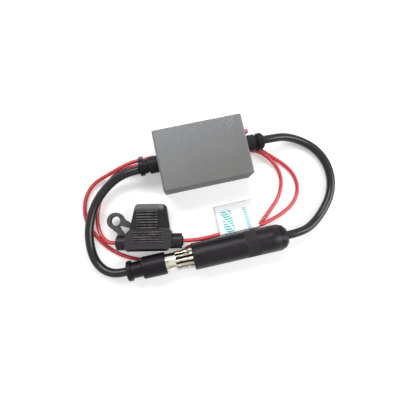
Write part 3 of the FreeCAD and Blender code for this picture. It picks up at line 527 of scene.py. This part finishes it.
def sleeve_plastic():
    """Black plastic with painted highlights on the knurl's crossing ridges and painted shade in its valleys.
    """
    f = Finish("sleeve_black")
    x, y, z = f.along("X"), f.along("Y"), f.along("Z")
    up = z - socket_mouth[2]
    angle = up.maths("ARCTAN2", up, y - socket_mouth[1])
    along = x - socket_mouth[0]
    band = along.within(knurl_start + knurl_length / 2, knurl_length / 2)
    lean = along * (math.pi / knurl_pitch)
    turn = angle * (knurl_diamonds / 2)
    one, two = abs((turn + lean).sine()), abs((turn - lean).sine())
    ridge = one.maths("MINIMUM", one, two) > 0.68
    haze = f.noise(120, 2)
    grain = f.noise(1000, 3, 0.7)
    tone = f.mix(haze * 0.5 + (grain - 0.5) * 0.6, (0.0058, 0.0053, 0.0066), (0.0125, 0.0115, 0.0135))
    # Painted highlights on the knurl's ridges and painted shade in its valleys
    tone = f.mix(band * 0.9, tone, f.mix(ridge, (0.0016, 0.0014, 0.0018), (0.085, 0.077, 0.087)))
    return f.surface(tone, 0.34 + (haze - 0.5) * 0.12, 0.0, f.bump(grain, 1.0, 0.00013),
                     Specular_IOR_Level=0.27, Specular_Tint=black_sheen)


FINISHES = {
    "casing": casing_paint(),
    "steel": screw_steel(),
    "board": green_board(),
    "black_plastic": moulded_black("plastic_black", (0.0058, 0.0050, 0.0066), 0.33, 1100, 1.0),
    "copper": copper_parts(),
    "can_sleeve": can_sleeve(),
    "ceramic_disc": disc_coating(),
    "resistor_body": banded_resistor(),
    "dielectric": white_core(),
    "black_rubber": moulded_black("rubber_black", (0.0065, 0.0060, 0.0073), 0.45, 1500, 0.3),
    "lamp_lens": lamp_red(),
    "coax_jacket": coax_jacket(),
    "red_lead": red_insulation(),
    "tinned_wire": tinned_copper(),
    "nickel": bright_nickel(),
    "fuse_plastic": fuse_red(),
    "fuse_metal": fuse_zinc(),
    "label": label_film(),
}
holder_finish = holder_plastic()
SPECIAL = {"fuse_base": holder_finish, "fuse_cap": holder_finish, "plug_barrel": finger_nickel()}

SLOT_OF = {part["node"]: part["material_slot"] for part in frame["record"]["subparts"]}
for name, node in frame["nodes"].items():
    node.data.materials.clear()
    node.data.materials.append(SPECIAL.get(name) or FINISHES[SLOT_OF[name]])


# Making pieces

def finished(obj, body, slot, stands_for, finish=None):
    """Gives a piece its finish and its body (None where it is blended), and hides the node that it stands
    for.
    """
    obj.data.materials.clear()
    obj.data.materials.append(finish or FINISHES[slot])
    if body:
        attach(obj, body)
    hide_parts(stands_for)
    return obj


def mesh_piece(name, points, faces):
    mesh = bpy.data.meshes.new(name)
    mesh.from_pydata([tuple(p) for p in points], [], faces)
    mesh.validate()
    bm = bmesh.new()
    bm.from_mesh(mesh)
    bmesh.ops.recalc_face_normals(bm, faces=bm.faces)
    bm.to_mesh(mesh)
    bm.free()
    for face in mesh.polygons:
        face.use_smooth = True
    obj = bpy.data.objects.new(name, mesh)
    bpy.context.collection.objects.link(obj)
    return obj


def line_curve(name, points, radius):
    """A smooth cord: a NURBS line with the route's points as its control points."""
    curve = bpy.data.curves.new(name, "CURVE")
    curve.dimensions = "3D"
    curve.resolution_u = 10
    spline = curve.splines.new("NURBS")
    spline.points.add(len(points) - 1)
    for point, place in zip(spline.points, points):
        point.co = (*mm(*place), 1.0)
    spline.order_u = 3
    spline.use_endpoint_u = True
    curve.bevel_depth = radius * MM
    curve.bevel_resolution = 6
    curve.use_fill_caps = True
    obj = bpy.data.objects.new(name, curve)
    bpy.context.collection.objects.link(obj)
    return obj


def centre_line(name, points):
    """The points along that smooth line, read from the curve without its thickness."""
    guide = line_curve(name, points, 0.0)
    bpy.context.view_layer.update()
    mesh = bpy.data.meshes.new_from_object(guide.evaluated_get(bpy.context.evaluated_depsgraph_get()))
    line = [v.co.copy() for v in mesh.vertices]
    bpy.data.meshes.remove(mesh)
    bpy.data.objects.remove(guide)
    return line


def tube_piece(name, line, radius, sides=28):
    points = []
    tangent = (line[1] - line[0]).normalized()
    side = tangent.orthogonal().normalized()
    for i, place in enumerate(line):
        ahead = line[min(i + 1, len(line) - 1)]
        behind = line[max(i - 1, 0)]
        heading = (ahead - behind).normalized()
        side = (side - heading * side.dot(heading)).normalized()
        up = heading.cross(side)
        for k in range(sides):
            angle = 2 * math.pi * k / sides
            points.append(place + (side * math.cos(angle) + up * math.sin(angle)) * radius * MM)
    faces = []
    for i in range(len(line) - 1):
        for k in range(sides):
            a, b = i * sides + k, i * sides + (k + 1) % sides
            faces.append((a, b, b + sides, a + sides))
    faces.append(tuple(range(sides)))
    faces.append(tuple(len(points) - sides + k for k in range(sides)))
    return mesh_piece(name, points, faces)


# Cords

coax_left_route = [
    (-gland_tip, left_coax_y, gland_z), (-gland_tip - 5.0, left_coax_y, gland_z), (-46.6, -1.9, 6.9),
    (-54.2, -5.7, 5.5), (-60.6, -11.6, 5.2), (-65.2, -19.0, 5.2), (-67.8, -26.6, 5.2),
    (-68.5, -32.6, 5.2), (-68.4, -38.2, 5.2), (-67.3, -43.2, 5.4), (-64.7, -47.6, 6.0),
    (-60.8, -50.8, 6.7), line_point(collar_along - 4.9), line_point(collar_along)]
coax_right_route = [
    (gland_tip, right_coax_y, gland_z), (gland_tip + 5.5, right_coax_y, gland_z), (48.0, 1.7, 6.0),
    (57.0, -1.6, 3.4), (64.6, -7.8, 2.6), (69.0, -16.8, 2.4), (69.4, -26.8, 2.4), (66.0, -36.2, 2.4),
    (58.8, -44.2, 2.9), (50.4, -49.9, 5.0), line_point(tail_along + 7.6), line_point(tail_along)]
power_lead_route = [
    (-gland_tip, lead_y, lead_z), (-gland_tip - 4.0, lead_y, lead_z), (-43.6, 2.1, 3.4),
    (-49.1, 1.3, 1.7), (-54.9, -3.2, 1.15), (-59.2, -9.4, 1.15), (-62.2, -15.8, 1.15),
    (-63.7, -21.6, 1.2), (-63.8, -25.6, 1.5), (-62.9, -29.8, 2.5), (-61.6, -32.4, 3.6),
    (-59.7, -34.6, 4.9), holder_point(left_boss_r - 2.6, -boss_left_drop, boss_z),
    holder_point(left_boss_r, -boss_left_drop, boss_z)]
supply_lead_route = [
    # Out of the holder, through the label and round the right loop
    holder_point(right_boss_r, -boss_right_drop, boss_z),
    holder_point(right_boss_r + 6.5, -boss_right_drop, boss_z),
    label_lead_start, label_lead_left, label_lead_right, label_lead_end, (32.9, -41.4, 2.2),
    (38.9, -39.2, 1.3), (44.2, -36.2, 1.15), (48.0, -32.0, 1.15), (49.9, -26.8, 1.15),
    (49.7, -21.2, 1.15), (47.6, -16.2, 1.3), (43.9, -11.6, 1.5), (40.0, -7.9, 1.5), (36.6, -4.7, 1.45),
    # The tight fold under the right gland, then back over the strand that came in
    (34.0, -1.8, 1.5), (31.8, 0.8, 1.8), (29.6, 3.15, 2.2), (27.59, 3.2, 2.4), (26.23, 1.84, 2.5),
    (26.27, -0.1, 2.55), (27.7, -1.47, 2.75), (31.3, -2.6, 3.3), (34.6, -5.2, 3.6), (37.6, -8.6, 2.9),
    (40.2, -12.5, 1.9), (41.7, -17.0, 1.25), (41.5, -22.0, 1.15), (39.6, -27.3, 1.15),
    (36.6, -31.8, 1.15), (32.4, -35.6, 1.15), (27.8, -39.6, 1.15), (24.6, -42.5, 1.1),
    # Hidden: behind the socket, under the barrel and behind the grip
    (21.4, -44.8, 1.1), (17.0, -46.3, 1.12), (11.0, -46.5, 1.15), (2.0, -46.45, 1.15),
    (-8.0, -46.5, 1.15), (-16.9, -46.45, 1.15), (-19.8, -47.8, 1.15), (-22.6, -49.2, 1.15),
    (-26.2, -49.6, 1.15), (-29.8, -48.95, 1.15), (-34.0, -48.65, 1.15), (-39.0, -48.7, 1.15),
    (-43.4, -48.4, 1.15),
    # Up the left side to the left tie and the bare end
    (-47.6, -46.8, 1.15), (-52.4, -44.4, 1.15), (-57.3, -41.0, 1.15), (-61.6, -36.6, 1.15),
    (-65.0, -31.6, 1.15), (-68.0, -26.2, 1.15), (-69.7, -20.4, 1.15), (-69.5, -14.4, 1.15),
    (-68.0, -9.0, 1.15), (-64.8, -4.2, 1.25), (-60.4, -0.9, 1.6), (-55.2, 0.6, 2.8),
    (-50.3, 1.8, 4.4), (-44.4, 3.35, 6.05), (-39.0, 4.6, 6.4), (-34.6, 4.95, 6.0),
    (-31.0, 4.9, 5.8), (-28.5, 5.3, 5.25), lead_end]

coax_left_line = centre_line("coax_left_guide", coax_left_route)
coax_left = finished(tube_piece("coax_left_jacket", coax_left_line, coax_radius), None,
                     "coax_jacket", "coax_left")
mm(0, -5.0, 0)
mm(0, -49.0, 0)
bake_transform(coax_left)

coax_right = finished(line_curve("coax_right_jacket", coax_right_route, coax_radius), "amplifier",
                      "coax_jacket", "coax_right")
power_lead = finished(line_curve("power_lead_insulation", power_lead_route, lead_radius), "amplifier",
                      "red_lead", "power_lead")
supply_lead = finished(line_curve("supply_lead_insulation", supply_lead_route, lead_radius), "amplifier",
                       "red_lead", "supply_lead")


def bare_strands():
    """The stripped end: seven tinned strands, six laid round the middle one and drawn in at the tip."""
    bare_radius, strand_radius, turns, draw_in = 0.5, 0.17, 0.35, 0.25
    halfway = tuple((a + b) / 2 for a, b in zip(lead_end, bare_tip))
    middle = centre_line("strand_guide", [lead_end, halfway, bare_tip])
    points, faces = [], []
    for k in range(7):
        line = []
        for i, place in enumerate(middle):
            s = i / (len(middle) - 1)
            ahead, behind = middle[min(i + 1, len(middle) - 1)], middle[max(i - 1, 0)]
            heading = (ahead - behind).normalized()
            side = heading.cross(Vector((0, 0, 1))).normalized()
            up = side.cross(heading)
            angle = 2 * math.pi * (k / 6 + turns * s)
            out = 0.0 if k == 6 else (bare_radius - strand_radius) * (1.0 - draw_in * s) * MM
            line.append(place + (side * math.cos(angle) + up * math.sin(angle)) * out)
        strand = tube_piece("strand", line, strand_radius, 8)
        offset = len(points)
        points += [v.co.copy() for v in strand.data.vertices]
        faces += [tuple(offset + v for v in p.vertices) for p in strand.data.polygons]
        bpy.data.objects.remove(strand)
    return mesh_piece("lead_strands", points, faces)


strands = finished(bare_strands(), "amplifier", "tinned_wire", "lead_bare_end")


# Socket sleeve with its knurled band

def knurled_sleeve():
    """A turned sleeve: rows of points round the line, with the knurl cut into the rows of its band."""
    sleeve_length, bore, knurl_depth, knurl_slope = 46.8, 6.1, 0.35, 1.6
    steps_round, steps_along = 352, 70
    mouth_round, tail_round, band_gap = 0.4, 0.15, 0.05
    rows = [(0.0, bore, 0), (0.0, sleeve_radius - mouth_round, 0), (0.12, sleeve_radius - 0.14, 0),
            (mouth_round, sleeve_radius, 0), (6.0, sleeve_radius, 0), (14.0, sleeve_radius, 0),
            (21.0, sleeve_radius, 0), (knurl_start - band_gap, sleeve_radius, 0)]
    rows += [(knurl_start + knurl_length * i / steps_along, sleeve_radius, 0 < i < steps_along)
             for i in range(steps_along + 1)]
    rows += [(knurl_start + knurl_length + band_gap, sleeve_radius, 0), (42.0, sleeve_radius, 0),
             (sleeve_length - tail_round, sleeve_radius, 0), (sleeve_length, sleeve_radius - tail_round, 0),
             (sleeve_length, bore, 0)]
    points = []
    for along, radius, knurled in rows:
        for k in range(steps_round):
            angle = 2 * math.pi * k / steps_round
            r = radius
            if knurled:
                one = abs(math.sin(knurl_diamonds * angle / 2 + math.pi * along / knurl_pitch))
                two = abs(math.sin(knurl_diamonds * angle / 2 - math.pi * along / knurl_pitch))
                r -= knurl_depth * (1.0 - min(1.0, knurl_slope * min(one, two)))
            points.append(ON_LINE @ mm(along, r * math.cos(angle), r * math.sin(angle)))
    faces = []
    for i in range(len(rows)):
        j = (i + 1) % len(rows)
        for k in range(steps_round):
            n = (k + 1) % steps_round
            faces.append((i * steps_round + k, i * steps_round + n, j * steps_round + n, j * steps_round + k))
    return mesh_piece("socket_sleeve_knurled", points, faces)


sleeve = finished(knurled_sleeve(), "amplifier", "black_plastic", "socket_sleeve", sleeve_plastic())


# Strap with its eye

def notched_strap():
    """The strap's outline in the holder's plane, from its eye to the boss and the cap, given its depth."""
    ring_r, ring_u, outer, inner = strap_eye_r, strap_eye_u, 4.5, 2.55
    low, depth, edge = 4.0, 3.8, 0.2
    outer_steps, hole_steps, notches = 36, 40, 4
    curve = bpy.data.curves.new("strap_outline", "CURVE")
    curve.dimensions = "2D"
    curve.fill_mode = "BOTH"
    curve.extrude = (depth / 2 - edge) * MM
    curve.bevel_depth = edge * MM
    curve.bevel_resolution = 2
    curve.offset = -edge * MM

    # Round the eye from the leg's upper root to the foot's left root
    start, sweep = math.radians(16), math.radians(232)
    outline = [(ring_r + outer * math.cos(a), ring_u + outer * math.sin(a))
               for a in [start + sweep * i / outer_steps for i in range(outer_steps + 1)]]
    # The foot that flares down to the boss, the fork, and the leg's notched lower side
    outline += [(ring_r - 0.6, -0.3), (ring_r + 1.0, -1.5), (ring_r + 1.4, -2.4), (ring_r + 4.4, -2.4),
                (ring_r + 4.1, -1.4), (ring_r + 2.9, 0.4), (ring_r + 1.9, 1.9), (ring_r + 2.2, 2.3)]
    fork, wall_low, wall_high = (ring_r + 3.0, 2.3), (-11.15, 0.85), (-10.6, 3.4)
    for i in range(notches * 4 + 1):
        s = i / (notches * 4)
        dip = 0.3 if i % 4 in (1, 2) else 0.0
        outline.append((fork[0] + (wall_low[0] - fork[0]) * s, fork[1] + (wall_low[1] - fork[1]) * s + dip))
    outline += [wall_high, (ring_r + 5.2, 5.4)]
    hole = [(ring_r + inner * math.cos(a), ring_u + inner * math.sin(a))
            for a in [2 * math.pi * i / hole_steps for i in range(hole_steps)]]
    for loop in (outline, hole):
        spline = curve.splines.new("POLY")
        spline.points.add(len(loop) - 1)
        for point, (r, u) in zip(spline.points, loop):
            point.co = (r * MM, u * MM, 0, 1)
        spline.use_cyclic_u = True
    guide = bpy.data.objects.new("strap_guide", curve)
    bpy.context.collection.objects.link(guide)
    bpy.context.view_layer.update()
    mesh = bpy.data.meshes.new_from_object(guide.evaluated_get(bpy.context.evaluated_depsgraph_get()))
    bpy.data.objects.remove(guide)
    mesh.transform(IN_HOLDER @ Matrix.Translation(mm(0, 0, low + depth / 2)))
    strap = bpy.data.objects.new("cap_strap_notched", mesh)
    bpy.context.collection.objects.link(strap)
    return strap


strap = finished(notched_strap(), None, "black_rubber", "cap_strap", strap_rubber())
mm(*holder_point(-15.0, 3.0, 5.0))
mm(*holder_point(-11.2, 1.8, 5.0))
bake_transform(strap)


# Label flag

def flag():
    """Film round the lead, then two leaves stuck together that curve down and lie on the surface."""
    start, end = Vector(label_lead_left), Vector(label_lead_right)
    heading = (end - start).normalized()
    side = Vector((-heading.y, heading.x, 0)).normalized()
    width, reach, thickness, setback = 22.0, 15.5, 0.3, 0.4
    inner, wrap_start, wrap_sweep, wrap_steps = 1.12, 25, 310, 30
    floor_gap, settle = 0.03, 1.25
    wave_height, wave_turn, wave_start = 0.12, 5.0, 0.6
    steps_along, steps_out = 26, 24
    wrap = [(inner * math.cos(a), inner * math.sin(a))
            for a in [math.radians(wrap_start + wrap_sweep * i / wrap_steps) for i in range(wrap_steps + 1)]]
    points, faces = [], []
    for i in range(steps_along + 1):
        s = i / steps_along
        base = start + heading * (setback + width * s)
        bottom = thickness / 2 + floor_gap - base.z
        wave = wave_height * math.sin(wave_turn * s + wave_start)
        leaf = []
        for j in range(1, steps_out + 1):
            t = j / steps_out
            ease = t * t * (3 - 2 * t)
            drop = bottom * min(1.0, settle * ease) + wave * math.sin(math.pi * t) * (1 - t)
            leaf.append((inner + (reach - inner) * t, max(drop, bottom)))
        upper = [(u, z + thickness / 2) for u, z in leaf]
        lower = [(u, z - thickness / 2) for u, z in leaf]
        for u, z in list(reversed(upper)) + wrap + lower:
            points.append(mm(*(base + side * u + Vector((0, 0, z)))))
    around = 2 * steps_out + len(wrap)
    for i in range(steps_along):
        for k in range(around - 1):
            a = i * around + k
            faces.append((a, a + 1, a + 1 + around, a + around))
        a, b = i * around + around - 1, i * around
        faces.append((a, b, b + around, a + around))
    # The leaves' two ends are closed across; the wrap round the lead stays open there
    for i in (0, steps_along):
        row = i * around
        for j in range(steps_out - 1):
            faces.append((row + j, row + j + 1, row + around - 2 - j, row + around - 1 - j))
    return mesh_piece("label_film", points, faces)


label = finished(flag(), "amplifier", "label", "flag_label")

mm(*coax_left_route[0])
mm(*coax_right_route[0])
mm(*power_lead_route[0])
mm(*supply_lead_route[0])


# Floor and background

def white_floor():
    """A floor that shows white but keeps the object's shadow."""
    reach = 3.0
    near_lift, lift_start, lift_fade = 0.36, 250.0, 450.0
    f = Finish("floor_white")
    x, y = f.along("X"), f.along("Y")
    away = x.maths("SQRT", x * x + y * y)
    # The lift rises to 1 away from the object, where the lamps no longer reach
    lift = ((away - lift_start) / lift_fade).clamped() * (1.0 - near_lift) + near_lift
    matt = f.node("ShaderNodeBsdfDiffuse", None, {"Color": (0.92, 0.92, 0.92, 1.0)})
    glow = f.node("ShaderNodeEmission", None, {"Color": (1, 1, 1, 1), "Strength": f.shown() * lift})
    both = f.node("ShaderNodeAddShader", None, {0: matt, 1: glow})
    f.node("ShaderNodeOutputMaterial", None, {"Surface": both})
    corners = [(-reach, -reach, 0), (reach, -reach, 0), (reach, reach, 0), (-reach, reach, 0)]
    floor = mesh_piece("floor", corners, [(0, 1, 2, 3)])
    floor.data.materials.append(f.material)


def studio_world():
    """The world lights the object at its own level and is white where it shows."""
    level = 0.30
    world = bpy.data.worlds.new("studio")
    world.use_nodes = True
    background = world.node_tree.nodes["Background"]
    background.inputs["Color"].default_value = (1, 1, 1, 1)
    nodes = Nodes(world.node_tree)
    shown = nodes.shown()
    nodes.feed(background.inputs["Strength"], shown.maths("MAXIMUM", shown, level))
    bpy.context.scene.world = world


white_floor()
studio_world()
